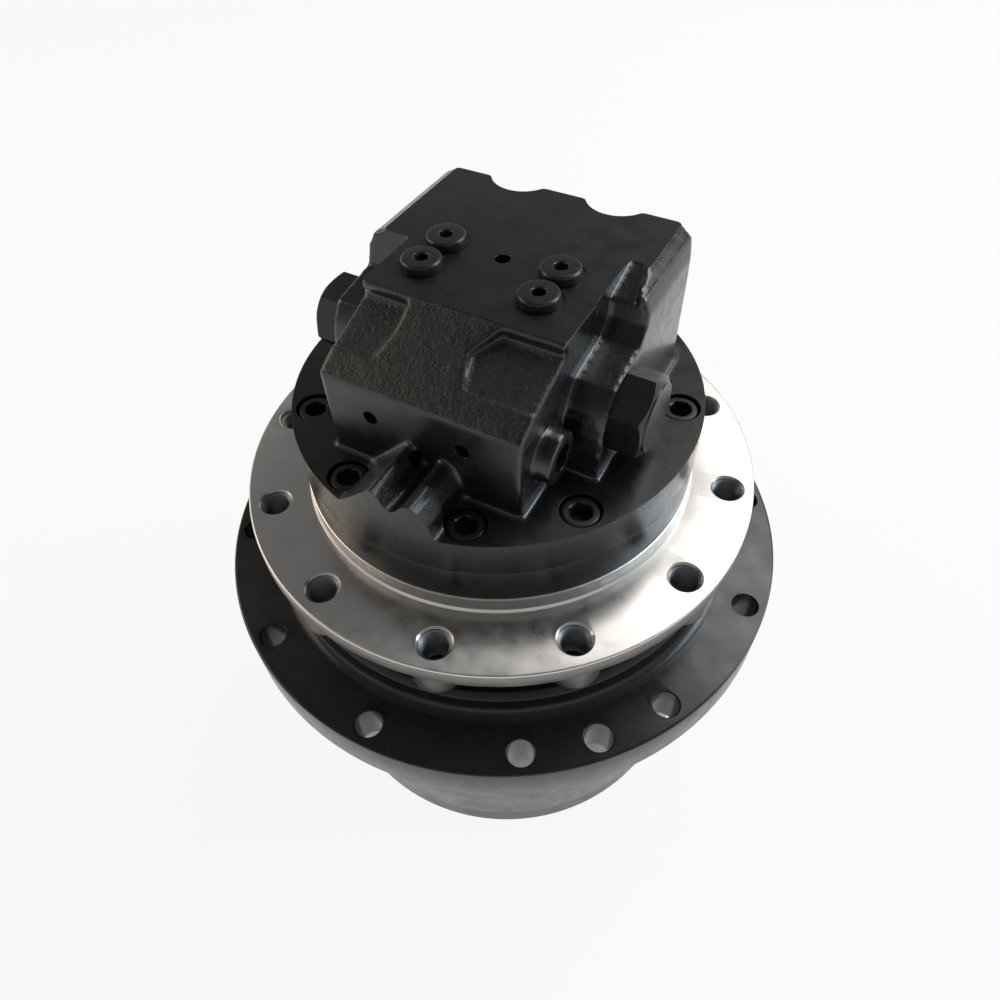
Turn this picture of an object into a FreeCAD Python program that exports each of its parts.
import FreeCAD, Part
import math
import os

import Sketcher

# Final drive of a small excavator: an axial piston motor in a fixed spindle,
# and a two-stage planetary gear train that turns the sprocket hub round it.
# Millimetres. The origin is the centre of the frame flange's mounting face,
# +Z runs along the axis towards the motor, and X runs along the brake spool.

V = FreeCAD.Vector
doc = FreeCAD.newDocument("final_drive")
sheet = doc.addObject("Spreadsheet::Sheet", "Dims")
sub_parts = []


class Size:
    """A number together with the sheet formula that drives it."""

    def __init__(self, value, formula):
        self.value = float(value)
        self.formula = formula

    def __add__(self, other):
        other = as_size(other)
        return Size(self.value + other.value, "(%s + %s)" % (self.formula, other.formula))

    def __sub__(self, other):
        other = as_size(other)
        return Size(self.value - other.value, "(%s - %s)" % (self.formula, other.formula))

    def __mul__(self, other):
        other = as_size(other)
        return Size(self.value * other.value, "(%s * %s)" % (self.formula, other.formula))

    def __truediv__(self, other):
        other = as_size(other)
        return Size(self.value / other.value, "(%s / %s)" % (self.formula, other.formula))

    def __neg__(self):
        return Size(-self.value, "(0 - %s)" % self.formula)

    def __float__(self):
        return self.value


def as_size(value):
    """A plain number as a Size."""
    if isinstance(value, Size):
        return value
    return Size(value, "%.6g" % value)


def size(alias, value):
    """Put one driving dimension in the sheet and return it."""
    size.row += 1
    sheet.set("A%d" % size.row, alias)
    sheet.set("B%d" % size.row, "%.6g" % value)
    sheet.setAlias("B%d" % size.row, alias)
    return Size(value, "Dims." + alias)


size.row = 0

# ------------------------------------------------------------- dimensions

# frame flange and spindle
flange_radius = size("flange_radius", 139.0)
flange_rim = size("flange_rim", 10.0)
frame_bolt_circle = size("frame_bolt_circle", 125.0)
frame_bolt_count = size("frame_bolt_count", 12)
frame_bolt_angle = size("frame_bolt_angle", 15.0)
frame_thread_radius = size("frame_thread_radius", 7.4)
frame_thread_mouth = size("frame_thread_mouth", 0.5)
lobe_radius = size("lobe_radius", 13.5)
lobe_depth = size("lobe_depth", 23.0)
pilot_radius = size("pilot_radius", 105.0)
pilot_height = size("pilot_height", 10.0)
case_radius = size("case_radius", 104.4)
case_joint = size("case_joint", 30.0)
skirt_radius = size("skirt_radius", 121.0)
skirt_foot = size("skirt_foot", 39.5)
seal_bore = size("seal_bore", 116.0)
seal_roof = size("seal_roof", 25.5)
neck_radius = size("neck_radius", 95.0)
bearing_bore = size("bearing_bore", 86.0)
bearing_outer = size("bearing_outer", 108.0)
bearing_width = size("bearing_width", 22.0)
bearing_top = size("bearing_top", 58.0)
bearing_gap = size("bearing_gap", 18.0)
roller_circle = size("roller_circle", 97.0)
roller_radius = size("roller_radius", 4.9)
roller_count = size("roller_count", 14)
nut_seat = size("nut_seat", 82.0)
nut_radius = size("nut_radius", 97.0)
nut_width = size("nut_width", 7.0)
spline_radius = size("spline_radius", 78.0)
spindle_foot = size("spindle_foot", 138.0)
foot_recess = size("foot_recess", 58.0)
recess_roof = size("recess_roof", 84.0)

# motor chamber in the spindle
brake_bore = size("brake_bore", 72.0)
brake_step = size("brake_step", 9.0)
disc_bore = size("disc_bore", 62.0)
disc_seat = size("disc_seat", 8.0)
chamber_bore = size("chamber_bore", 58.0)
chamber_floor = size("chamber_floor", 44.0)
low_bearing_radius = size("low_bearing_radius", 34.0)
low_bearing_width = size("low_bearing_width", 14.0)
shaft_seal_radius = size("shaft_seal_radius", 26.0)
shaft_seal_width = size("shaft_seal_width", 8.0)
shaft_hole = size("shaft_hole", 19.0)

# valve casing
disc_top = size("disc_top", 50.0)
plate_top = size("plate_top", 118.0)
block_left = size("block_left", 47.0)
block_right = size("block_right", 52.5)
block_front = size("block_front", 73.5)
block_back = size("block_back", 72.0)
nose_top = size("nose_top", 95.0)
plate_front = size("plate_front", 34.0)
step_drop = size("step_drop", 7.0)
pocket_front = size("pocket_front", 61.5)
pocket_tilt = size("pocket_tilt", 20.5)
ridge_left = size("ridge_left", 21.5)
ridge_right = size("ridge_right", 23.5)
boss_reach = size("boss_reach", 72.0)
boss_front = size("boss_front", 39.0)
boss_brow = size("boss_brow", 33.5)
boss_brow_height = size("boss_brow_height", 84.0)
boss_crown = size("boss_crown", 92.5)
boss_round = size("boss_round", 9.5)
shelf_height = size("shelf_height", 99.0)
wing_front = size("wing_front", 5.0)
shoulder_round = size("shoulder_round", 10.0)
corner_round = size("corner_round", 12.0)
valley_back = size("valley_back", 33.5)
valley_tilt = size("valley_tilt", 14.5)
valley_wall = size("valley_wall", 60.0)
scallop_radius = size("scallop_radius", 17.0)
scallop_reach = size("scallop_reach", 80.0)
scallop_floor = size("scallop_floor", 88.0)

# valve bores, ports and plugs
spool_y = size("spool_y", -11.5)
spool_z = size("spool_z", 74.0)
spool_bore = size("spool_bore", 12.0)
spool_half = size("spool_half", 36.0)
spool_waist = size("spool_waist", 8.0)
cap_thread = size("cap_thread", 13.5)
cap_depth = size("cap_depth", 15.0)
cap_flats = size("cap_flats", 35.0)
cap_height = size("cap_height", 16.0)
speed_y = size("speed_y", -52.0)
speed_z = size("speed_z", 72.6)
speed_bore = size("speed_bore", 6.0)
speed_bore_end = size("speed_bore_end", -30.0)
speed_spool_start = size("speed_spool_start", -20.0)
speed_spool_end = size("speed_spool_end", 44.0)
speed_boss_radius = size("speed_boss_radius", 12.5)
speed_boss_face = size("speed_boss_face", 61.0)
pilot_port_radius = size("pilot_port_radius", 6.6)
pilot_port_depth = size("pilot_port_depth", 13.0)
main_port_radius = size("main_port_radius", 12.1)
main_port_depth = size("main_port_depth", 18.0)
main_port_height = size("main_port_height", 69.0)
main_port_offset = size("main_port_offset", 26.5)
drain_port_radius = size("drain_port_radius", 9.3)
drain_port_depth = size("drain_port_depth", 15.0)
drain_port_y = size("drain_port_y", 40.0)
gauge_hole = size("gauge_hole", 3.7)
gauge_hole_depth = size("gauge_hole_depth", 10.0)
plug_spacing = size("plug_spacing", 29.3)
plug_front = size("plug_front", -13.1)
plug_back = size("plug_back", 8.1)
plug_thread = size("plug_thread", 6.9)
plug_depth = size("plug_depth", 12.0)
plug_flange = size("plug_flange", 9.4)
plug_head = size("plug_head", 4.8)
plug_spot = size("plug_spot", 11.4)
plug_spot_depth = size("plug_spot_depth", 0.5)
plug_socket = size("plug_socket", 6.0)
oring_groove = size("oring_groove", 78.5)
oring_section = size("oring_section", 1.4)

# casing screws
screw_circle = size("screw_circle", 92.5)
screw_shank = size("screw_shank", 6.0)
screw_head = size("screw_head", 9.0)
screw_head_height = size("screw_head_height", 12.0)
screw_counterbore = size("screw_counterbore", 9.8)
screw_sink = size("screw_sink", 13.0)
screw_bite = size("screw_bite", 16.0)
screw_socket = size("screw_socket", 10.0)

# sprocket hub and cover
sprocket_radius = size("sprocket_radius", 162.5)
sprocket_face = size("sprocket_face", 56.0)
sprocket_back = size("sprocket_back", 81.0)
sprocket_bolt_circle = size("sprocket_bolt_circle", 151.2)
sprocket_bolt_count = size("sprocket_bolt_count", 12)
sprocket_bolt_angle = size("sprocket_bolt_angle", 2.3)
sprocket_bolt_hole = size("sprocket_bolt_hole", 7.0)
jack_hole_angle = size("jack_hole_angle", 317.3)
jack_hole_radius = size("jack_hole_radius", 7.4)
hub_top = size("hub_top", 41.0)
hub_neck = size("hub_neck", 129.5)
hub_lip = size("hub_lip", 3.5)
hub_seal_floor = size("hub_seal_floor", 54.0)
root_round = size("root_round", 8.0)
barrel_radius = size("barrel_radius", 130.0)
barrel_foot = size("barrel_foot", 208.0)
bearing_shoulder = size("bearing_shoulder", 102.5)
gear_seat = size("gear_seat", 138.2)
ring_outer = size("ring_outer", 110.5)
ring_foot = size("ring_foot", 207.4)
ring_pin_radius = size("ring_pin_radius", 4.0)
ring_pin_length = size("ring_pin_length", 8.0)
ring_pin_count = size("ring_pin_count", 6)
cover_radius = size("cover_radius", 127.8)
cover_foot = size("cover_foot", 231.0)
cover_wall = size("cover_wall", 13.0)
cover_cavity = size("cover_cavity", 102.0)
cover_bolt_circle = size("cover_bolt_circle", 118.0)
cover_bolt_count = size("cover_bolt_count", 12)
cover_bolt = size("cover_bolt", 5.0)
cover_bolt_bite = size("cover_bolt_bite", 18.0)
cover_bolt_head = size("cover_bolt_head", 8.0)
cover_bolt_head_height = size("cover_bolt_head_height", 10.0)
cover_bolt_counterbore = size("cover_bolt_counterbore", 8.5)
cover_bolt_sink = size("cover_bolt_sink", 11.0)
oil_plug_circle = size("oil_plug_circle", 76.0)
oil_plug_count = size("oil_plug_count", 3)
oil_plug_thread = size("oil_plug_thread", 8.0)
oil_plug_head = size("oil_plug_head", 12.0)
oil_plug_recess = size("oil_plug_recess", 6.0)
oil_plug_socket = size("oil_plug_socket", 8.0)
pad_radius = size("pad_radius", 12.0)
pad_thick = size("pad_thick", 3.0)

# planetary gears
gear_module = size("gear_module", 3.75)
pressure_angle = size("pressure_angle", 25.0)
ring_teeth = size("ring_teeth", 54)
first_sun_teeth = size("first_sun_teeth", 12)
second_sun_teeth = size("second_sun_teeth", 18)
planet_count = size("planet_count", 3)
tooth_backlash = size("tooth_backlash", 0.3)
second_top = size("second_top", 149.0)
second_width = size("second_width", 28.0)
first_top = size("first_top", 190.3)
first_width = size("first_width", 15.0)
second_pin_radius = size("second_pin_radius", 13.0)
first_pin_radius = size("first_pin_radius", 9.0)
second_carrier_radius = size("second_carrier_radius", 94.0)
first_carrier_radius = size("first_carrier_radius", 86.0)
first_carrier_thick = size("first_carrier_thick", 8.0)
washer_thick = size("washer_thick", 1.9)
washer_radius = size("washer_radius", 20.0)
pin_head_thick = size("pin_head_thick", 2.2)
sun_spline = size("sun_spline", 26.0)
sun_bore = size("sun_bore", 16.0)

# rotating group and parking brake
block_radius = size("block_radius", 48.0)
block_top = size("block_top", 22.8)
block_low = size("block_low", 12.0)
piston_circle = size("piston_circle", 36.0)
piston_radius = size("piston_radius", 8.0)
piston_count = size("piston_count", 9)
piston_top = size("piston_top", 8.0)
piston_low = size("piston_low", 17.8)
piston_spigot = size("piston_spigot", 4.0)
barrel_bore_top = size("barrel_bore_top", 16.0)
slipper_radius = size("slipper_radius", 10.0)
slipper_neck = size("slipper_neck", 7.0)
slipper_foot = size("slipper_foot", 3.0)
swash_face = size("swash_face", 27.0)
swash_radius = size("swash_radius", 55.0)
swash_hole = size("swash_hole", 24.0)
swash_flat = size("swash_flat", 50.0)
pivot_circle = size("pivot_circle", 45.0)
pivot_radius = size("pivot_radius", 6.0)
valve_plate_inner = size("valve_plate_inner", 20.0)
valve_plate_outer = size("valve_plate_outer", 46.0)
shaft_nose = size("shaft_nose", 12.0)
shaft_spline = size("shaft_spline", 15.0)
shaft_journal = size("shaft_journal", 17.0)
shaft_tail = size("shaft_tail", 13.5)
shaft_foot = size("shaft_foot", 205.6)
top_bearing_radius = size("top_bearing_radius", 26.0)
top_bearing_width = size("top_bearing_width", 13.0)
top_roller_circle = size("top_roller_circle", 18.5)
low_roller_circle = size("low_roller_circle", 25.0)
roller_share = size("roller_share", 0.136)
shaft_roller_count = size("shaft_roller_count", 8)
disc_thick = size("disc_thick", 2.0)
disc_pitch = size("disc_pitch", 4.6)
disc_count = size("disc_count", 3)
friction_outer = size("friction_outer", 57.0)
separator_inner = size("separator_inner", 50.5)
brake_piston_inner = size("brake_piston_inner", 51.0)
brake_piston_top = size("brake_piston_top", 22.0)
brake_stroke = size("brake_stroke", 1.5)
spring_circle = size("spring_circle", 62.0)
spring_radius = size("spring_radius", 4.5)
spring_wire = size("spring_wire", 2.0)
spring_count = size("spring_count", 8)

# clearances
slip = size("slip", 0.03)
running_gap = size("running_gap", 0.05)
seat_gap = size("seat_gap", 0.1)
wide_gap = size("wide_gap", 0.3)

# places that follow from the sizes above
CASING_SCREW_ANGLES = (16.4, 70.0, 110.0, 163.6, 218.4, 250.9, 290.4, 322.4)
first_cone_low = -(bearing_top + bearing_width)
second_cone_top = first_cone_low - bearing_gap
second_cone_low = second_cone_top - bearing_width
nut_low = second_cone_low - seat_gap - nut_width
second_plate_top = -(spindle_foot + wide_gap - seat_gap)
second_plate_low = -(second_top - washer_thick - seat_gap)
first_plate_low = -(first_top - wide_gap)
first_plate_top = first_plate_low + first_carrier_thick
low_bearing_foot = -(chamber_floor + low_bearing_width)
shaft_seal_foot = low_bearing_foot - shaft_seal_width
second_radius = gear_module * second_sun_teeth / 2
second_planet_teeth = (ring_teeth - second_sun_teeth) / 2
second_offset = gear_module * (second_sun_teeth + second_planet_teeth) / 2
first_planet_teeth = (ring_teeth - first_sun_teeth) / 2
first_offset = gear_module * (first_sun_teeth + first_planet_teeth) / 2
doc.recompute()


# ---------------------------------------------------------------- helpers

def origin_plane(body, role):
    """One of a body's own origin planes or axes."""
    return [item for item in body.Origin.OriginFeatures if item.Role == role][0]


def new_body(label):
    """A PartDesign body that becomes one node."""
    body = doc.addObject("PartDesign::Body", label)
    body.Label = label
    sub_parts.append(body)
    return body


def new_sketch(body, name, role, offset=0.0):
    """A sketch on an origin plane, lifted along its normal by offset."""
    sketch = body.newObject("Sketcher::SketchObject", name)
    sketch.AttachmentSupport = (origin_plane(body, role), [""])
    sketch.MapMode = "FlatFace"
    sketch.setExpression("AttachmentOffset.Base.z", as_size(offset).formula)
    return sketch


def fix_point(sketch, geometry, position, point):
    """Tie one sketch point to the sheet, measured from the sketch origin."""
    for kind, value in zip(("DistanceX", "DistanceY"), point):
        value = as_size(value)
        rule = Sketcher.Constraint(kind, -1, 1, geometry, position, value.value)
        index = sketch.addConstraint(rule)
        sketch.setExpression("Constraints[%d]" % index, value.formula)


def fix_radius(sketch, geometry, radius):
    """Tie a circle's or an arc's radius to the sheet."""
    radius = as_size(radius)
    index = sketch.addConstraint(Sketcher.Constraint("Radius", geometry, abs(radius.value)))
    sketch.setExpression("Constraints[%d]" % index, "abs(%s)" % radius.formula)


def flat(point):
    """A sketch point as a vector."""
    return V(float(point[0]), float(point[1]), 0)


def minor_arc(start, end, radius):
    """A minor arc that bulges to the right of its travel, or left if negative."""
    chord = end - start
    reach = abs(radius)
    rise = reach - math.sqrt(max(reach ** 2 - chord.Length ** 2 / 4, 0))
    side = V(chord.y, -chord.x, 0).normalize() * math.copysign(rise, radius)
    return Part.ArcOfCircle(start, (start + end) * 0.5 + side, end)


def draw_outline(sketch, points):
    """A closed outline; a third value on a point is its next edge's radius."""
    first = sketch.GeometryCount
    starts = []
    for number, point in enumerate(points):
        begin = flat(point)
        finish = flat(points[(number + 1) % len(points)])
        if len(point) == 3:
            index = sketch.addGeometry(minor_arc(begin, finish, float(point[2])))
            starts.append(1 if (sketch.getPoint(index, 1) - begin).Length < 1e-6 else 2)
        else:
            sketch.addGeometry(Part.LineSegment(begin, finish))
            starts.append(1)
    for number, point in enumerate(points):
        follower = (number + 1) % len(points)
        corner = (first + number, 3 - starts[number], first + follower, starts[follower])
        sketch.addConstraint(Sketcher.Constraint("Coincident", *corner))
        fix_point(sketch, first + number, starts[number], point[:2])
    for number, point in enumerate(points):
        if len(point) == 3:
            fix_radius(sketch, first + number, point[2])


def draw_circle(sketch, x, y, radius):
    """A circle tied to the sheet."""
    index = sketch.addGeometry(Part.Circle(flat((x, y)), V(0, 0, 1), float(radius)))
    fix_point(sketch, index, 3, (x, y))
    fix_radius(sketch, index, radius)


def on_circle(radius, angle):
    """A point on a circle, as two sizes that follow the circle's radius."""
    turn = math.radians(float(angle))
    return radius * math.cos(turn), radius * math.sin(turn)


def revolve(body, name, points):
    """Turn a closed outline of (radius, height) points round Z."""
    sketch = new_sketch(body, name + "_section", "XZ_Plane")
    draw_outline(sketch, points)
    feature = body.newObject("PartDesign::Revolution", name)
    feature.Profile = sketch
    feature.ReferenceAxis = (sketch, ["V_Axis"])
    feature.Angle = 360
    return feature


def groove(body, name, points):
    """Cut a turned outline and check that it removes material."""
    doc.recompute()
    before = body.Shape.Volume
    sketch = new_sketch(body, name + "_section", "XZ_Plane")
    draw_outline(sketch, points)
    feature = body.newObject("PartDesign::Groove", name)
    feature.Profile = sketch
    feature.ReferenceAxis = (sketch, ["V_Axis"])
    feature.Angle = 360
    doc.recompute()
    if body.Shape.Volume >= before:
        raise ValueError("%s cuts nothing" % name)
    return feature


def pad(body, name, sketch, length, back=False):
    """Pad a sketch along its normal, or against it."""
    feature = body.newObject("PartDesign::Pad", name)
    feature.Profile = sketch
    feature.setExpression("Length", as_size(length).formula)
    feature.Reversed = back
    return feature


def pocket(body, name, sketch, length, back=False):
    """Cut a sketch against its normal, or along it, and check the cut."""
    doc.recompute()
    before = body.Shape.Volume
    feature = body.newObject("PartDesign::Pocket", name)
    feature.Profile = sketch
    feature.setExpression("Length", as_size(length).formula)
    feature.Reversed = back
    doc.recompute()
    if body.Shape.Volume >= before:
        raise ValueError("%s cuts nothing" % name)
    return feature


def bore(body, name, role, place, radius, length, offset, back=False):
    """Cut round holes from a plane at an offset; place lists their centres."""
    sketch = new_sketch(body, name + "_circles", role, offset)
    for x, y in place:
        draw_circle(sketch, x, y, radius)
    return pocket(body, name, sketch, length, back)


def polar(body, name, feature, count):
    """Repeat a feature evenly round Z."""
    pattern = body.newObject("PartDesign::PolarPattern", name)
    pattern.Originals = [feature]
    pattern.Axis = (origin_plane(body, "Z_Axis"), [""])
    pattern.Angle = 360
    pattern.setExpression("Occurrences", as_size(count).formula)
    body.Tip = pattern
    doc.recompute()
    return pattern


def dress_edges(body, kind, name, amount, wanted):
    """Fillet or chamfer the edges that wanted(edge) picks on the tip."""
    doc.recompute()
    base = body.Tip
    edges = enumerate(base.Shape.Edges, 1)
    picked = ["Edge%d" % number for number, edge in edges if wanted(edge)]
    feature = body.newObject("PartDesign::" + kind, name)
    feature.Base = (base, picked)
    alias = "Radius" if kind == "Fillet" else "Size"
    feature.setExpression(alias, as_size(amount).formula)
    doc.recompute()
    return feature


def turned(label, points):
    """A node turned from one outline of (radius, height) points."""
    body = new_body(label)
    revolve(body, label + "_turn", points)
    return body


def solids_node(label, solids):
    """A node that groups identical or paired solids."""
    feature = doc.addObject("Part::Feature", label)
    feature.Label = label
    shape = Part.makeCompound(solids) if len(solids) > 1 else solids[0]
    feature.Shape = shape
    feature.Placement = shape.Placement
    sub_parts.append(feature)
    return feature


def cylinder(radius, low, high, x=0.0, y=0.0):
    """An upright cylinder between two heights."""
    base = V(float(x), float(y), float(low))
    return Part.makeCylinder(float(radius), float(high) - float(low), base)


def tube(inner, outer, low, high, x=0.0, y=0.0):
    """An upright tube between two heights."""
    return cylinder(outer, low, high, x, y).cut(cylinder(inner, low, high, x, y))


def hex_prism(flats, low, high, turn=0.0):
    """An upright hexagonal prism, given across its flats."""
    corner = float(flats) / math.sqrt(3)
    angles = [math.radians(60 * side + turn) for side in range(7)]
    rim = [V(corner * math.cos(a), corner * math.sin(a), float(low)) for a in angles]
    return Part.Face(Part.makePolygon(rim)).extrude(V(0, 0, float(high) - float(low)))


def lathe(points):
    """A turned shape from (radius, height) points, for a node off the axis."""
    rim = [V(float(r), 0, float(z)) for r, z in points]
    return Part.Face(Part.makePolygon(rim + rim[:1])).revolve(V(0, 0, 0), V(0, 0, 1), 360)


def along_x(shape, y, z):
    """An upright shape laid along +X on a given axis."""
    laid = shape.copy()
    laid.rotate(V(0, 0, 0), V(0, 1, 0), 90)
    laid.translate(V(0, float(y), float(z)))
    return laid


def ring_of(shape, count, circle, start=0.0):
    """Copies of a shape spaced evenly on a circle."""
    copies = []
    for number in range(int(round(float(count)))):
        angle = float(start) + 360.0 * number / float(count)
        copy = shape.copy()
        copy.translate(V(float(circle), 0, 0))
        copy.rotate(V(0, 0, 0), V(0, 0, 1), angle)
        copies.append(copy)
    return copies


def socket_screw(shank, reach, head, head_height, flats):
    """A socket head screw that points down, with its head's top at zero."""
    body = cylinder(head, -head_height, 0).fuse(cylinder(shank, -(head_height + reach), -head_height))
    return body.cut(hex_prism(flats, -head_height * 0.5, 0.01))


def involute(angle):
    """The involute function of a pressure angle in radians."""
    return math.tan(angle) - angle


def tooth_outline(teeth, inner, outer, lean):
    """The corners of one tooth's flank, widest first, as (radius, half angle)."""
    pitch = float(gear_module) * float(teeth) / 2
    pressure = math.radians(float(pressure_angle))
    base = pitch * math.cos(pressure)
    half_pitch = (math.pi * float(gear_module) / 4 + lean) / pitch
    corners = []
    for radius in (inner, (inner + outer) / 2, outer):
        angle = math.acos(min(base / max(radius, base), 1.0))
        corners.append((radius, half_pitch + involute(pressure) - involute(angle)))
    return corners


def gear_face(teeth, inner, outer, lean, tooth_at_zero):
    """A toothed face whose teeth fill from inner to outer radius."""
    count = int(round(float(teeth)))
    corners = tooth_outline(teeth, inner, outer, lean)
    start = 0.0 if tooth_at_zero else math.pi / count
    rim = []
    for number in range(count):
        middle = start + 2 * math.pi * number / count
        flank = [(r, -a) for r, a in corners] + [(r, a) for r, a in reversed(corners)]
        rim += [V(r * math.cos(middle + a), r * math.sin(middle + a), 0) for r, a in flank]
    return Part.Face(Part.makePolygon(rim + rim[:1]))


def spur_gear(teeth, bore_radius, low, high, tooth_at_zero=True):
    """An external gear with its bore."""
    pitch = float(gear_module) * float(teeth) / 2
    root = pitch - float(gear_module)
    tip = pitch + 0.8 * float(gear_module)
    face = gear_face(teeth, root, tip, -float(tooth_backlash) / 2, tooth_at_zero)
    face.translate(V(0, 0, float(low)))
    blank = face.extrude(V(0, 0, float(high) - float(low)))
    return blank.cut(cylinder(bore_radius, low - 1, high + 1))


# ------------------------------------------------- spindle and frame flange

def make_spindle():
    """The fixed spindle: frame flange, seal skirt, bearing seat and motor chamber."""
    body = new_body("spindle")
    revolve(body, "spindle_turn", [
        (brake_bore, case_joint),
        (case_radius, case_joint),
        (case_radius, pilot_height),
        (pilot_radius, pilot_height - 0.6),
        (pilot_radius, 0),
        (flange_radius - 0.8, 0),
        (flange_radius, -0.8),
        (flange_radius, -flange_rim),
        (skirt_radius, -flange_rim - 3),
        (skirt_radius, -skirt_foot),
        (seal_bore, -skirt_foot),
        (seal_bore, -seal_roof),
        (neck_radius, -seal_roof),
        (neck_radius, -bearing_top + seat_gap),
        (bearing_bore, -bearing_top + seat_gap),
        (bearing_bore, second_cone_low),
        (nut_seat, second_cone_low),
        (nut_seat, nut_low),
        (spline_radius, nut_low),
        (spline_radius, -spindle_foot),
        (foot_recess, -spindle_foot),
        (foot_recess, -recess_roof),
        (shaft_hole, shaft_seal_foot - 7),
        (shaft_hole, shaft_seal_foot),
        (shaft_seal_radius, shaft_seal_foot),
        (shaft_seal_radius, low_bearing_foot),
        (low_bearing_radius, low_bearing_foot),
        (low_bearing_radius, -chamber_floor),
        (chamber_bore, -chamber_floor),
        (chamber_bore, -disc_seat),
        (disc_bore, -disc_seat),
        (disc_bore, brake_step),
        (brake_bore, brake_step),
    ])
    lobe = new_sketch(body, "lobe_circle", "XY_Plane", -lobe_depth)
    draw_circle(lobe, *on_circle(frame_bolt_circle, frame_bolt_angle), lobe_radius)
    lobe_pad = pad(body, "lobe", lobe, lobe_depth - 2)
    polar(body, "lobes", lobe_pad, frame_bolt_count)
    thread = bore(body, "frame_thread", "XY_Plane", [on_circle(frame_bolt_circle, frame_bolt_angle)],
                  frame_thread_radius, lobe_depth + 1, 0)
    polar(body, "frame_threads", thread, frame_bolt_count)
    dress_edges(body, "Chamfer", "thread_mouths", frame_thread_mouth,
                lambda edge: abs(edge.BoundBox.ZMin) < 0.01 and edge.BoundBox.ZLength < 0.01
                and edge.BoundBox.XLength < float(frame_thread_radius) * 2.1)
    screws = [on_circle(screw_circle, angle) for angle in CASING_SCREW_ANGLES]
    bore(body, "casing_threads", "XY_Plane", screws, screw_shank + slip, screw_bite, case_joint)
    pivots = [(-pivot_circle, 0.0), (pivot_circle, 0.0)]
    bore(body, "pivot_seats", "XY_Plane", pivots, pivot_radius + slip,
         pivot_radius - 0.5 + running_gap, -chamber_floor)
    return body


# ------------------------------------------------------------ valve casing

def tilted_sketch(body, name, y, z, angle):
    """A sketch on a plane that tilts up towards +Y from a point on it."""
    sketch = new_sketch(body, name, "XY_Plane", z)
    turn = FreeCAD.Rotation(V(1, 0, 0), float(angle))
    sketch.AttachmentOffset = FreeCAD.Placement(V(0, float(y), float(z)), turn)
    sketch.setExpression("AttachmentOffset.Base.y", as_size(y).formula)
    return sketch


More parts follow.
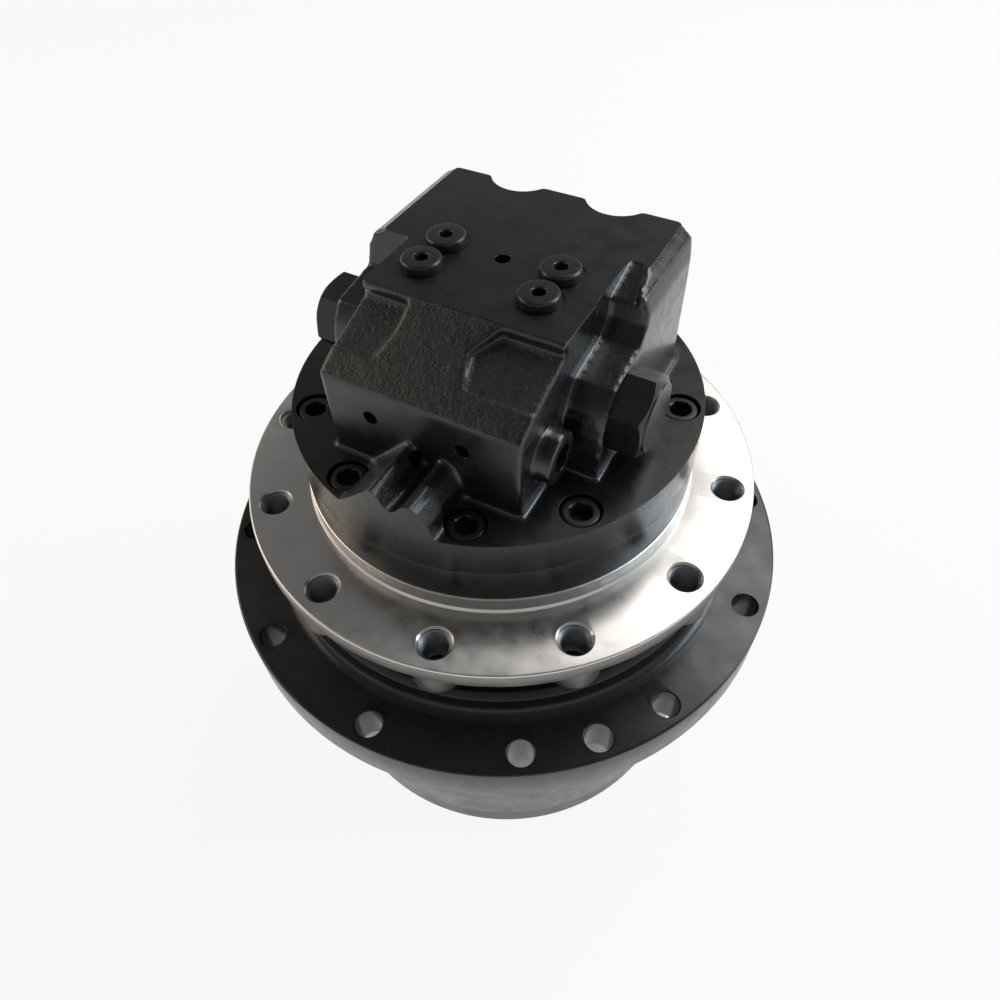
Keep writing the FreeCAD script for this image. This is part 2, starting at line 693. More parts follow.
def make_casing():
    """The cast rear flange that closes the motor and holds its valves."""
    body = new_body("valve_casing")
    bearing_roof = case_joint + 1 + top_bearing_width
    revolve(body, "casing_disc", [
        (0, bearing_roof),
        (top_bearing_radius, bearing_roof),
        (top_bearing_radius, case_joint),
        (case_radius, case_joint),
        (case_radius, disc_top - 1.2),
        (case_radius - 1.2, disc_top),
        (0, disc_top),
    ])
    block_low_z = disc_top - 4
    block = new_sketch(body, "block_plan", "XY_Plane", block_low_z)
    draw_outline(block, [
        (-block_left, -block_front),
        (block_right, -block_front),
        (block_right, block_back),
        (-block_left, block_back),
    ])
    pad(body, "block", block, plate_top - block_low_z)

    slope = new_sketch(body, "slope_side", "YZ_Plane", boss_reach)
    draw_outline(slope, [
        (-plate_front, plate_top),
        (-block_front, nose_top),
        (-block_front - 5, nose_top),
        (-block_front - 5, plate_top + 5),
        (-plate_front, plate_top + 5),
    ])
    pocket(body, "slope", slope, boss_reach * 2)

    cosine = math.cos(math.radians(float(pocket_tilt)))
    run = (pocket_front - plate_front) / cosine
    left = tilted_sketch(body, "left_pocket_plan", -plate_front, plate_top - step_drop, pocket_tilt)
    draw_outline(left, [
        (-block_left - 5, 0),
        (-block_left - 5, -run),
        (-ridge_left - 4, -run),
        (-ridge_left, -run * 0.5),
        (-ridge_left, 0),
    ])
    pocket(body, "left_pocket", left, step_drop * 4, back=True)
    right = tilted_sketch(body, "right_pocket_plan", -plate_front, plate_top - step_drop, pocket_tilt)
    draw_outline(right, [
        (ridge_right, 0),
        (ridge_right - 8.5, -run * 0.45),
        (ridge_right - 4, -run),
        (block_right + 5, -run),
        (block_right + 5, 0),
    ])
    pocket(body, "right_pocket", right, step_drop * 4, back=True)

    boss_foot = disc_top - 4
    left_boss = new_sketch(body, "left_boss_side", "YZ_Plane", -boss_reach)
    draw_outline(left_boss, [
        (-boss_front, boss_foot),
        (-boss_brow, boss_brow_height, -boss_round),
        (-boss_brow + 7, boss_crown + 2),
        (wing_front - 5, shelf_height),
        (wing_front - 3.5, shelf_height + 9),
        (wing_front, plate_top),
        (block_back, plate_top),
        (block_back, boss_foot),
    ])
    pad(body, "left_boss", left_boss, boss_reach - block_left + 2)
    right_boss = new_sketch(body, "right_boss_side", "YZ_Plane", block_right - 2)
    draw_outline(right_boss, [
        (-boss_front, boss_foot),
        (-boss_brow, boss_brow_height, -boss_round),
        (-boss_brow + 8.5, boss_crown),
        (wing_front - 4, shelf_height - 1.5),
        (wing_front + 3, shelf_height + 5),
        (wing_front + 7, plate_top),
        (block_back, plate_top),
        (block_back, boss_foot),
    ])
    pad(body, "right_boss", right_boss, boss_reach - block_right + 2)

    valley_cos = math.cos(math.radians(float(valley_tilt)))
    valley = tilted_sketch(body, "valley_plan", valley_back, plate_top, valley_tilt)
    draw_outline(valley, [
        (block_right - 0.7, 0),
        (valley_wall, 0),
        (valley_wall + 6, -(valley_back - wing_front) / valley_cos),
        (valley_wall + 6, -(valley_back + 3) / valley_cos),
        (block_right - 0.7, -(valley_back + 3) / valley_cos),
    ])
    pocket(body, "valley", valley, step_drop * 3, back=True)

    for name, side, bulge in (("right", 1, -1), ("left", -1, 1)):
        shoulder = new_sketch(body, name + "_shoulder_end", "XZ_Plane", boss_front + 5)
        draw_outline(shoulder, [
            (boss_reach * side, plate_top - shoulder_round * 2.4),
            ((boss_reach - 0.8) * side, plate_top - shoulder_round, shoulder_round * -bulge),
            ((boss_reach - 0.8 - shoulder_round) * side, plate_top),
            ((boss_reach - 0.8 - shoulder_round) * side, plate_top + 5),
            ((boss_reach + 5) * side, plate_top + 5),
            ((boss_reach + 5) * side, plate_top - shoulder_round * 2.4),
        ])
        pocket(body, name + "_shoulder", shoulder, boss_front + block_back + 10)

    corner = new_sketch(body, "corner_plan", "XY_Plane", disc_top)
    draw_outline(corner, [
        (boss_reach - corner_round, block_back, corner_round),
        (boss_reach, block_back - corner_round),
        (boss_reach + 5, block_back - corner_round),
        (boss_reach + 5, block_back + 5),
        (boss_reach - corner_round, block_back + 5),
    ])
    pocket(body, "corner", corner, plate_top - disc_top + 5, back=True)
    scallops = [(-main_port_offset, scallop_reach), (main_port_offset, scallop_reach)]
    bore(body, "scallops", "XY_Plane", scallops, scallop_radius,
         plate_top - scallop_floor + 5, plate_top + 5)

    make_control_block(body)
    speed_end = new_sketch(body, "speed_boss_end", "YZ_Plane", block_right - 2)
    draw_circle(speed_end, speed_y, speed_z, speed_boss_radius)
    pad(body, "speed_boss", speed_end, speed_boss_face - block_right + 2)
    cut_casing_bores(body)
    return body


def make_control_block(body):
    """The cast passage hump between the front face and the casing's rim."""
    hump = new_sketch(body, "control_block_end", "XZ_Plane", block_front - 2)
    draw_outline(hump, [
        (-25.0, disc_top - 4),
        (-25.0, disc_top),
        (-6.5, disc_top + 18.5, 6.0),
        (-1.5, disc_top + 20.5),
        (1.5, disc_top + 15, -5.0),
        (9.5, disc_top + 14.5),
        (13.0, disc_top + 18.5),
        (16.5, disc_top + 18.4, 8.0),
        (22.0, disc_top + 11),
        (25.0, disc_top),
        (25.0, disc_top - 4),
    ])
    pad(body, "control_block", hump, case_radius - block_front + 4)
    groove(body, "rim_trim", [
        (case_radius, disc_top - 5),
        (case_radius + 20, disc_top - 5),
        (case_radius + 20, plate_top),
        (case_radius, plate_top),
    ])


def cut_casing_bores(body):
    """Every bore of the casing: valves, ports, plugs and screws."""
    reach = boss_reach
    spool = [(spool_y, spool_z)]
    bore(body, "spool_bore", "YZ_Plane", spool, spool_bore, reach * 2, reach)
    bore(body, "right_cap_seat", "YZ_Plane", spool, cap_thread, cap_depth + seat_gap, reach)
    bore(body, "left_cap_seat", "YZ_Plane", spool, cap_thread, cap_depth + seat_gap, -reach, back=True)
    speed = [(speed_y, speed_z)]
    bore(body, "speed_bore", "YZ_Plane", speed, speed_bore, speed_boss_face - speed_bore_end,
         speed_boss_face)
    bore(body, "pilot_port", "YZ_Plane", speed, pilot_port_radius, pilot_port_depth, speed_boss_face)
    ports = [(-main_port_offset, main_port_height), (main_port_offset, main_port_height)]
    bore(body, "main_ports", "XZ_Plane", ports, main_port_radius, main_port_depth,
         -block_back, back=True)
    bore(body, "drain_port", "YZ_Plane", [(drain_port_y, spool_z)], drain_port_radius,
         drain_port_depth, -reach, back=True)
    gauges = [(-22.4, 77.9), (24.6, 79.2), (0.0, 84.0)]
    bore(body, "gauge_holes", "XZ_Plane", gauges, gauge_hole, gauge_hole_depth, block_front)
    lift = [(0.7, 7.2)]
    bore(body, "lifting_thread", "XY_Plane", lift, gauge_hole, gauge_hole_depth * 1.5, plate_top)
    plugs = plug_places()
    bore(body, "plug_spots", "XY_Plane", plugs, plug_spot, plug_spot_depth + 5, plate_top + 5)
    bore(body, "plug_threads", "XY_Plane", plugs, plug_thread + slip, plug_depth + 1, plate_top)
    screws = [on_circle(screw_circle, angle) for angle in CASING_SCREW_ANGLES]
    bore(body, "screw_holes", "XY_Plane", screws, screw_shank + slip, disc_top - case_joint + 1,
         disc_top + 1)
    bore(body, "screw_counterbores", "XY_Plane", screws, screw_counterbore, screw_sink + 12,
         disc_top + 12)
    groove(body, "casing_oring_groove", [
        (oring_groove - oring_section - seat_gap, case_joint - 1),
        (oring_groove - oring_section - seat_gap, case_joint + oring_section * 2),
        (oring_groove + oring_section + seat_gap, case_joint + oring_section * 2),
        (oring_groove + oring_section + seat_gap, case_joint - 1),
    ])


def plug_places():
    """The centres of the four check-valve plugs in the top face."""
    sides = (-plug_spacing, plug_spacing)
    return [(x, y) for x in sides for y in (plug_front, plug_back)]


def make_casing_trim():
    """The casing's screws, plugs, valve caps and joint ring."""
    screw = socket_screw(screw_shank, disc_top - screw_sink - case_joint + screw_bite - 1,
                         screw_head, screw_head_height, screw_socket)
    screw.translate(V(0, 0, float(disc_top - screw_sink + screw_head_height)))
    screws = [ring_of(screw, 1, screw_circle, angle)[0] for angle in CASING_SCREW_ANGLES]
    solids_node("casing_screws", screws)

    seat = plate_top - plug_spot_depth
    plug = cylinder(plug_thread, seat - plug_depth, seat).fuse(cylinder(plug_flange, seat, seat + plug_head))
    plug = plug.cut(hex_prism(plug_socket, seat, seat + plug_head + 0.01))
    plugs = []
    for x, y in plug_places():
        copy = plug.copy()
        copy.translate(V(float(x), float(y), 0))
        plugs.append(copy)
    solids_node("check_valve_plugs", plugs)

    cap = hex_prism(cap_flats, boss_reach, boss_reach + cap_height, 0)
    round_bar = cylinder(cap_flats * 0.56, boss_reach, boss_reach + cap_height)
    cap = cap.common(round_bar).fuse(cylinder(cap_thread - slip, boss_reach - cap_depth, boss_reach))
    for label, turn, flip in (("spool_cap_right", 3.0, 0), ("spool_cap_left", 23.0, 180)):
        copy = cap.copy()
        copy.rotate(V(0, 0, 0), V(0, 0, 1), turn)
        copy = along_x(copy, 0, 0)
        copy.rotate(V(0, 0, 0), V(0, 0, 1), flip)
        copy.translate(V(0, float(spool_y), float(spool_z)))
        solids_node(label, [copy])

    ring = Part.makeTorus(float(oring_groove), float(oring_section),
                          V(0, 0, float(case_joint + oring_section)))
    solids_node("casing_oring", [ring])


# ------------------------------------------------------ valves in the casing

def make_valves():
    """The counterbalance and two-speed spools with their springs."""
    waist = spool_waist
    half = spool_half
    land = spool_bore - slip
    spool = lathe([
        (0, -half), (land, -half), (land, -half * 0.6), (waist, -half * 0.6), (waist, -half * 0.2),
        (land, -half * 0.2), (land, half * 0.2), (waist, half * 0.2), (waist, half * 0.6),
        (land, half * 0.6), (land, half), (0, half),
    ])
    solids_node("counterbalance_spool", [along_x(spool, spool_y, spool_z)])
    spring_end = boss_reach - cap_depth - seat_gap
    spring = tube(spool_bore * 0.62, spool_bore * 0.86, half + seat_gap, spring_end)
    solids_node("spool_spring_right", [along_x(spring, spool_y, spool_z)])
    spring = tube(spool_bore * 0.62, spool_bore * 0.86, -spring_end, -half - seat_gap)
    solids_node("spool_spring_left", [along_x(spring, spool_y, spool_z)])

    start = speed_spool_start
    end = speed_spool_end
    land = speed_bore - slip
    waist = speed_bore * 0.6
    speed = lathe([
        (0, start), (land, start), (land, start + 20), (waist, start + 20), (waist, end - 20),
        (land, end - 20), (land, end), (0, end),
    ])
    solids_node("two_speed_spool", [along_x(speed, speed_y, speed_z)])
    spring = tube(speed_bore * 0.5, speed_bore * 0.85, speed_bore_end + seat_gap, start - seat_gap)
    solids_node("two_speed_spring", [along_x(spring, speed_y, speed_z)])


# --------------------------------------------------------- motor, fixed parts

def make_motor_seats():
    """The parts that stand still round the rotating group."""
    swash = new_body("swash_plate")
    base = chamber_floor - 0.5
    revolve(swash, "swash_turn", [
        (swash_hole, -base), (swash_radius, -base), (swash_radius, -swash_face),
        (swash_hole, -swash_face),
    ])
    flats = new_sketch(swash, "swash_flats", "XY_Plane", -base)
    for side in (1, -1):
        draw_outline(flats, [
            (-swash_radius, swash_flat * side), (swash_radius, swash_flat * side),
            (swash_radius, (swash_radius + 5) * side), (-swash_radius, (swash_radius + 5) * side),
        ])
    pocket(swash, "flats", flats, base - swash_face, back=True)
    pivots = [(-pivot_circle, 0.0), (pivot_circle, 0.0)]
    bore(swash, "pivot_sockets", "XY_Plane", pivots, pivot_radius + slip,
         pivot_radius + running_gap, -base, back=True)
    ball = Part.makeSphere(float(pivot_radius))
    balls = ring_of(ball, 2, pivot_circle)
    for item in balls:
        item.translate(V(0, 0, float(-base)))
    solids_node("pivot_balls", balls)

    plate = tube(valve_plate_inner, valve_plate_outer, block_top + seat_gap, case_joint)
    kidney_inner = piston_circle - 4
    kidney_outer = piston_circle + 4
    low = block_top - 1
    height = float(case_joint - low) + 1
    for start in (15, 195):
        arc = Part.makeCylinder(float(kidney_outer), height, V(0, 0, float(low)), V(0, 0, 1), 150)
        arc = arc.cut(cylinder(kidney_inner, low, low + height))
        arc.rotate(V(0, 0, 0), V(0, 0, 1), start)
        plate = plate.cut(arc)
    solids_node("valve_plate", [plate])

    turned("shaft_seal", [
        (shaft_journal + running_gap, shaft_seal_foot), (shaft_seal_radius - slip, shaft_seal_foot),
        (shaft_seal_radius - slip, low_bearing_foot - seat_gap),
        (shaft_seal_radius - 2, low_bearing_foot - seat_gap),
        (shaft_seal_radius - 2, shaft_seal_foot + 2), (shaft_journal + 2, shaft_seal_foot + 2),
        (shaft_journal + 2, shaft_seal_foot + 5), (shaft_journal + running_gap, shaft_seal_foot + 5),
    ])
    low = -disc_seat + seat_gap
    plates = []
    discs = []
    for number in range(int(float(disc_count))):
        level = low + disc_pitch * number
        plates.append(tube(separator_inner, disc_bore - slip, level, level + disc_thick))
        level = level + disc_pitch / 2
        discs.append(tube(block_radius + slip, friction_outer, level, level + disc_thick))
    solids_node("separator_plates", plates)
    solids_node("friction_discs", discs)


def bearing_rings(low, high, inner, outer, circle, radius):
    """The two races that hold a row of rollers."""
    cone = tube(inner + slip, circle - radius - running_gap, low, high)
    cup = tube(circle + radius + running_gap, outer - slip, low, high)
    return cone, cup


def make_shaft_bearings():
    """The two bearings of the motor shaft."""
    top_low = case_joint + 1
    top_high = top_low + top_bearing_width - seat_gap
    low_low = low_bearing_foot + seat_gap
    low_high = -chamber_floor - seat_gap
    top_roller = top_roller_circle * roller_share
    low_roller = low_roller_circle * roller_share
    top = bearing_rings(top_low, top_high, shaft_nose, top_bearing_radius, top_roller_circle, top_roller)
    low = bearing_rings(low_low, low_high, shaft_journal, low_bearing_radius, low_roller_circle, low_roller)
    solids_node("shaft_bearing_cones", [top[0], low[0]])
    solids_node("shaft_bearing_cups", [top[1], low[1]])
    row = ring_of(cylinder(top_roller, top_low + 2, top_high - 2), shaft_roller_count, top_roller_circle)
    row += ring_of(cylinder(low_roller, low_low + 2, low_high - 2), shaft_roller_count, low_roller_circle)
    solids_node("shaft_bearing_rollers", row)


# ------------------------------------------------------- motor, turning parts

def make_rotating_group():
    """The shaft and everything that turns with it in the motor."""
    top_seat = case_joint + 1
    turned("drive_shaft", [
        (0, -shaft_foot), (shaft_tail - 1, -shaft_foot), (shaft_tail, -shaft_foot + 1),
        (shaft_tail, shaft_seal_foot - 3), (shaft_journal, shaft_seal_foot - 1),
        (shaft_journal, -chamber_floor), (shaft_journal + 2, -chamber_floor),
        (shaft_journal + 2, -chamber_floor + 5), (shaft_spline, -chamber_floor + 7),
        (shaft_spline, top_seat - seat_gap), (shaft_nose, top_seat - seat_gap),
        (shaft_nose, top_seat + top_bearing_width - 1), (0, top_seat + top_bearing_width - 1),
    ])
    block = turned("cylinder_block", [
        (shaft_spline + slip, -block_low), (block_radius - 2, -block_low),
        (block_radius, -block_low + 2), (block_radius, block_top - 6),
        (valve_plate_outer, block_top - 4), (valve_plate_outer, block_top),
        (valve_plate_inner, block_top), (shaft_spline + slip, block_top - 5),
    ])
    place = [(piston_circle, 0.0)]
    cut = bore(block, "piston_bore", "XY_Plane", place, piston_radius + slip,
               barrel_bore_top + block_low, -block_low, back=True)
    polar(block, "piston_bores", cut, piston_count)
    port = bore(block, "piston_port", "XY_Plane", place, piston_spigot, block_top - barrel_bore_top + 1,
                block_top)
    polar(block, "piston_ports", port, piston_count)

    foot = -swash_face
    neck_top = -piston_low - seat_gap
    piston = lathe([
        (0, foot + slipper_foot), (piston_spigot, foot + slipper_foot), (piston_spigot, -piston_low),
        (piston_radius, -piston_low), (piston_radius, piston_top), (piston_radius - 3, piston_top),
        (piston_radius - 3, -block_low), (0, -block_low),
    ])
    solids_node("pistons", ring_of(piston, piston_count, piston_circle))
    slipper = lathe([
        (piston_spigot + slip, foot + seat_gap), (slipper_radius, foot + seat_gap),
        (slipper_radius, foot + slipper_foot), (slipper_neck, foot + slipper_foot),
        (slipper_neck, neck_top), (piston_spigot + slip, neck_top),
    ])
    solids_node("slippers", ring_of(slipper, piston_count, piston_circle))

    level = foot + slipper_foot + seat_gap
    retainer = turned("retainer_plate", [
        (swash_hole, level), (piston_circle + slipper_radius, level),
        (piston_circle + slipper_radius, level + disc_thick), (swash_hole, level + disc_thick),
    ])
    hole = bore(retainer, "neck_hole", "XY_Plane", place, slipper_neck + 0.5, disc_thick + 1,
                level + disc_thick)
    polar(retainer, "neck_holes", hole, piston_count)
    turned("retainer_guide", [
        (shaft_spline + slip, level + disc_thick + seat_gap),
        (swash_hole + 2, level + disc_thick + seat_gap, 12.0),
        (swash_hole - 4, -block_low - seat_gap),
        (shaft_spline + slip, -block_low - seat_gap),
    ])


def make_parking_brake():
    """The brake piston and its springs."""
    low = -disc_seat + seat_gap + disc_pitch * disc_count
    turned("brake_piston", [
        (brake_piston_inner, low), (disc_bore - running_gap, low),
        (disc_bore - running_gap, brake_step + brake_stroke),
        (brake_bore - running_gap, brake_step + brake_stroke),
        (brake_bore - running_gap, brake_piston_top), (brake_piston_inner, brake_piston_top),
    ])
    spring = tube(spring_radius - spring_wire, spring_radius, brake_piston_top + slip, case_joint - slip)
    solids_node("brake_springs", ring_of(spring, spring_count, spring_circle))


# -------------------------------------------------------------- hub and cover

def make_hub():
    """The turning hub with its sprocket flange."""
    body = new_body("hub")
    revolve(body, "hub_turn", [
        (seal_bore, -hub_top),
        (hub_neck - hub_lip, -hub_top),
        (hub_neck, -hub_top - hub_lip),
        (hub_neck, -sprocket_face + root_round, root_round),
        (hub_neck + root_round, -sprocket_face),
        (sprocket_radius - 1.5, -sprocket_face),
        (sprocket_radius, -sprocket_face - 1.5),
        (sprocket_radius, -sprocket_back + 1.5),
        (sprocket_radius - 1.5, -sprocket_back),
        (barrel_radius + 4, -sprocket_back, -4.0),
        (barrel_radius, -sprocket_back - 4),
        (barrel_radius, -barrel_foot + 1),
        (barrel_radius - 1, -barrel_foot),
        (ring_outer, -barrel_foot),
        (ring_outer, -gear_seat),
        (bearing_outer, -gear_seat),
        (bearing_outer, second_cone_top),
        (bearing_shoulder, second_cone_top),
        (bearing_shoulder, first_cone_low),
        (bearing_outer, first_cone_low),
        (bearing_outer, -hub_seal_floor),
        (seal_bore, -hub_seal_floor),
    ])
    hole = bore(body, "sprocket_hole", "XY_Plane", [on_circle(sprocket_bolt_circle, sprocket_bolt_angle)],
                sprocket_bolt_hole, sprocket_back - sprocket_face + 1, -sprocket_face)
    polar(body, "sprocket_holes", hole, sprocket_bolt_count)
    bore(body, "jack_hole", "XY_Plane", [on_circle(sprocket_bolt_circle, jack_hole_angle)],
         jack_hole_radius, sprocket_back - sprocket_face + 1, -sprocket_face)
    thread = bore(body, "cover_thread", "XY_Plane", [(cover_bolt_circle, 0.0)], cover_bolt + slip,
                  cover_bolt_bite, -barrel_foot, back=True)
    polar(body, "cover_threads", thread, cover_bolt_count)
    pin = bore(body, "pin_seat", "XY_Plane", [on_circle(ring_outer, pin_angle())],
               ring_pin_radius + slip, ring_pin_length, -barrel_foot, back=True)
    polar(body, "pin_seats", pin, ring_pin_count)


def pin_angle():
    """The first ring gear pin stands halfway between two cover screws."""
    return 180.0 / float(cover_bolt_count)


def make_ring_gear():
    """The internal gear that both planet stages roll in, and its pins."""
    pitch = float(gear_module * ring_teeth) / 2
    tip = pitch - 0.8 * float(gear_module)
    root = pitch + float(gear_module)
    low = -float(ring_foot)
    height = float(ring_foot - gear_seat) - float(seat_gap)
    face = gear_face(ring_teeth, tip - 1, root, float(tooth_backlash) / 2, True)
    face.translate(V(0, 0, low - 1))
    spaces = face.extrude(V(0, 0, height + 2))
    gear = cylinder(ring_outer - slip, low, low + height)
    gear = gear.cut(spaces).cut(cylinder(tip, low - 1, low + height + 1))
    seats = ring_of(cylinder(ring_pin_radius + slip, low - 1, -barrel_foot + ring_pin_length),
                    ring_pin_count, ring_outer, pin_angle())
    gear = gear.cut(Part.makeCompound(seats))
    solids_node("ring_gear", [gear])
    pin = cylinder(ring_pin_radius, -barrel_foot + seat_gap, -barrel_foot + ring_pin_length - seat_gap)
    solids_node("ring_gear_pins", ring_of(pin, ring_pin_count, ring_outer, pin_angle()))


def make_cover():
    """The cover that closes the gears, with its screws, plugs and thrust pad."""
    body = new_body("cover")
    boss_top = -shaft_foot - 1.4
    floor = -cover_foot + cover_wall
    revolve(body, "cover_turn", [
        (0, -cover_foot),
        (cover_radius - 3, -cover_foot),
        (cover_radius, -cover_foot + 3),
        (cover_radius, -barrel_foot),
        (cover_cavity + 2, -barrel_foot),
        (cover_cavity, floor + 3),
        (cover_cavity - 3, floor),
        (pad_radius + 12, floor),
        (pad_radius + 6, boss_top),
        (pad_radius + slip, boss_top),
        (pad_radius + slip, -shaft_foot - wide_gap - pad_thick),
        (0, -shaft_foot - wide_gap - pad_thick),
    ])
    hole = bore(body, "screw_hole", "XY_Plane", [(cover_bolt_circle, 0.0)], cover_bolt + slip,
                cover_foot - barrel_foot, -barrel_foot)
    polar(body, "screw_holes", hole, cover_bolt_count)
    sink = bore(body, "screw_sink", "XY_Plane", [(cover_bolt_circle, 0.0)], cover_bolt_counterbore,
                cover_bolt_sink, -cover_foot, back=True)
    polar(body, "screw_sinks", sink, cover_bolt_count)
    plug = [on_circle(oil_plug_circle, 90.0)]
    thread = bore(body, "oil_thread", "XY_Plane", plug, oil_plug_thread + slip, cover_wall, floor)
    polar(body, "oil_threads", thread, oil_plug_count)
    recess = bore(body, "oil_recess", "XY_Plane", plug, oil_plug_head + 1, oil_plug_recess,
                  -cover_foot, back=True)
    polar(body, "oil_recesses", recess, oil_plug_count)

    seat = -cover_foot + cover_bolt_sink
    reach = -barrel_foot - seat + cover_bolt_bite - 1
    screw = socket_screw(cover_bolt, reach, cover_bolt_head, cover_bolt_head_height,
                         cover_bolt_head * 0.98)
    screw.rotate(V(0, 0, 0), V(1, 0, 0), 180)
    screw.translate(V(0, 0, float(seat - cover_bolt_head_height)))
    solids_node("cover_screws", ring_of(screw, cover_bolt_count, cover_bolt_circle))
    seat = -cover_foot + oil_plug_recess
    plug = cylinder(oil_plug_head, seat - oil_plug_recess + 1, seat)
    plug = plug.fuse(cylinder(oil_plug_thread, seat, floor - 0.5))
    plug = plug.cut(hex_prism(oil_plug_socket, seat - oil_plug_recess, seat))
    solids_node("oil_plugs", ring_of(plug, oil_plug_count, oil_plug_circle, 90.0))
    pad_top = -shaft_foot - wide_gap
    solids_node("thrust_pad", [cylinder(pad_radius, pad_top - pad_thick, pad_top)])


# ------------------------------------------------------ bearings and seals

def make_main_bearings():
    """The two large bearings that carry the hub on the spindle."""
    cones = []
    cups = []
    rows = []
    for top in (-bearing_top, second_cone_top):
        low = top - bearing_width
        races = bearing_rings(low, top, bearing_bore, bearing_outer, roller_circle, roller_radius)
        cones.append(races[0])
        cups.append(races[1])
        roller = cylinder(roller_radius, low + 3, top - 3)
        rows += ring_of(roller, roller_count, roller_circle)
    solids_node("main_bearing_cones", cones)
    solids_node("main_bearing_cups", cups)
    solids_node("main_bearing_rollers", rows)
    nut = turned("bearing_nut", [
        (nut_seat + slip, nut_low), (nut_radius, nut_low), (nut_radius, second_cone_low - seat_gap),
        (nut_seat + slip, second_cone_low - seat_gap),
    ])
    notch = bore(nut, "nut_notch", "XY_Plane", [(nut_radius, 0.0)], nut_width * 0.6, nut_width,
                 second_cone_low - seat_gap)
    polar(nut, "nut_notches", notch, 4)


def make_face_seal():
    """The floating face seal: two lapped rings, each on a rubber ring."""
    joint = hub_top - (hub_top - skirt_foot) / 2
    ring_inner = neck_radius + 2
    rubber = (seal_bore - neck_radius - 12.5) / 2
    ring_outer_radius = seal_bore - rubber * 2
    middle = seal_bore - rubber
    section = float(rubber - running_gap)
    turned("seal_ring_upper", [
        (ring_inner, -joint + seat_gap * 1.5), (ring_outer_radius + 3, -joint + seat_gap * 1.5),
        (ring_outer_radius + 3, -joint + 2.5), (ring_outer_radius, -joint + 3),
        (ring_outer_radius, -seal_roof - 4), (ring_inner, -seal_roof - 4),
    ])
    turned("seal_ring_lower", [
        (ring_inner, -joint - seat_gap * 1.5), (ring_outer_radius + 3, -joint - seat_gap * 1.5),
        (ring_outer_radius + 3, -joint - 2.5), (ring_outer_radius, -joint - 3),
        (ring_outer_radius, -hub_seal_floor + 3), (ring_inner, -hub_seal_floor + 3),
    ])
    upper = Part.makeTorus(float(middle), section, V(0, 0, float(-joint + 7.5)))
    lower = Part.makeTorus(float(middle), section, V(0, 0, float(-joint - 7.5)))
    solids_node("seal_rubber_upper", [upper])
    solids_node("seal_rubber_lower", [lower])


# ---------------------------------------------------------- planetary stages

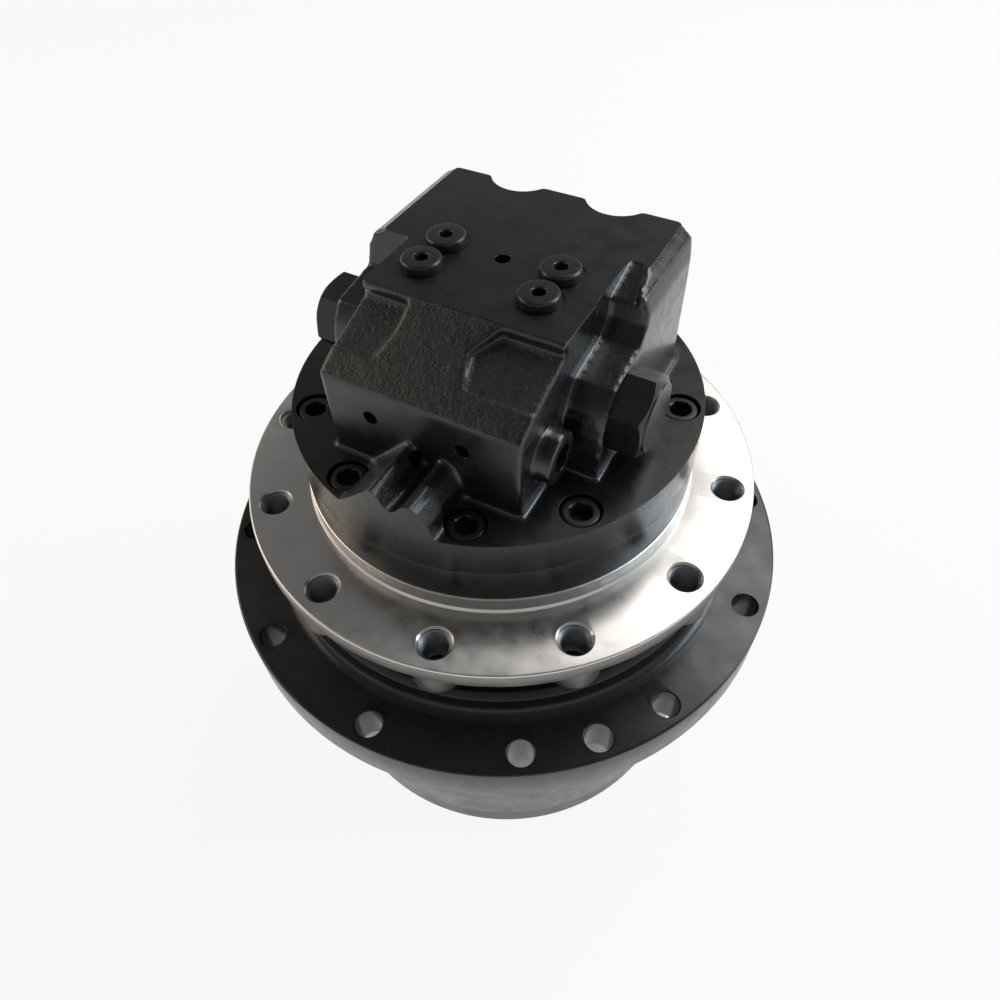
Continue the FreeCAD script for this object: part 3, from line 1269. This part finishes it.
def make_second_stage():
    """The output stage: its carrier is fixed to the spindle."""
    carrier = turned("output_carrier", [
        (spline_radius + slip, second_plate_top), (sun_bore + 8, second_plate_top),
        (sun_bore + 8, second_plate_low), (second_carrier_radius, second_plate_low),
        (second_carrier_radius, nut_low - seat_gap), (spline_radius + slip, nut_low - seat_gap),
    ])
    hole = bore(carrier, "pin_hole", "XY_Plane", [(second_offset, 0.0)], second_pin_radius + slip,
                second_plate_top - second_plate_low, second_plate_top)
    polar(carrier, "pin_holes", hole, planet_count)
    gear_low = -(second_top + second_width)
    washer_low = gear_low - seat_gap / 2 - washer_thick
    head_low = washer_low - seat_gap / 2 - pin_head_thick
    pin = lathe([
        (0, second_plate_top), (second_pin_radius, second_plate_top),
        (second_pin_radius, head_low + pin_head_thick), (second_pin_radius + 4, head_low + pin_head_thick),
        (second_pin_radius + 4, head_low), (0, head_low),
    ])
    solids_node("output_planet_pins", ring_of(pin, planet_count, second_offset))
    washers = []
    for low in (washer_low, -second_top + seat_gap / 2):
        washer = tube(second_pin_radius + slip, washer_radius, low, low + washer_thick)
        washers += ring_of(washer, planet_count, second_offset)
    solids_node("output_thrust_washers", washers)
    planet = spur_gear(second_planet_teeth, second_pin_radius + running_gap, gear_low, -second_top)
    for letter, gear in zip("abc", ring_of(planet, planet_count, second_offset)):
        solids_node("output_planet_" + letter, [gear])
    sun = spur_gear(second_sun_teeth, sun_bore, gear_low - 1, -second_top + 1, tooth_at_zero=False)
    sun = sun.fuse(tube(sun_bore, sun_spline - slip, first_plate_low, gear_low - 1))
    solids_node("output_sun_gear", [sun])


def make_first_stage():
    """The input stage: its carrier turns the second stage's sun gear."""
    carrier = turned("input_carrier", [
        (sun_spline, first_plate_low), (first_carrier_radius, first_plate_low),
        (first_carrier_radius, first_plate_top), (sun_spline, first_plate_top),
    ])
    hole = bore(carrier, "pin_hole", "XY_Plane", [(first_offset, 0.0)], first_pin_radius + slip,
                first_carrier_thick, first_plate_top)
    polar(carrier, "pin_holes", hole, planet_count)
    gear_low = -(first_top + first_width)
    head_low = gear_low - seat_gap - pin_head_thick + 0.4
    pin = lathe([
        (0, first_plate_top - 0.3), (first_pin_radius, first_plate_top - 0.3),
        (first_pin_radius, gear_low - seat_gap), (first_pin_radius + 4, gear_low - seat_gap),
        (first_pin_radius + 4, head_low), (0, head_low),
    ])
    solids_node("input_planet_pins", ring_of(pin, planet_count, first_offset))
    planet = spur_gear(first_planet_teeth, first_pin_radius + running_gap, gear_low, -first_top)
    for letter, gear in zip("abc", ring_of(planet, planet_count, first_offset)):
        solids_node("input_planet_" + letter, [gear])
    sun = spur_gear(first_sun_teeth, shaft_tail + slip, gear_low, -first_top)
    solids_node("input_sun_gear", [sun])


make_spindle()
make_casing()
make_casing_trim()
make_valves()
make_motor_seats()
make_shaft_bearings()
make_rotating_group()
make_parking_brake()
make_hub()
make_ring_gear()
make_cover()
make_main_bearings()
make_face_seal()
make_second_stage()
make_first_stage()
doc.recompute()

for item in doc.Objects:
    if "Invalid" in item.State or "Error" in item.State:
        raise ValueError("%s failed: %s" % (item.Name, item.State))
for item in sub_parts:
    if item.Shape.isNull() or not item.Shape.isValid():
        raise ValueError("%s has no valid shape" % item.Label)
os.makedirs("parts", exist_ok=True)
for item in sub_parts:
    item.Shape.exportStep("parts/%s.step" % item.Label)
print("%d nodes" % len(sub_parts))
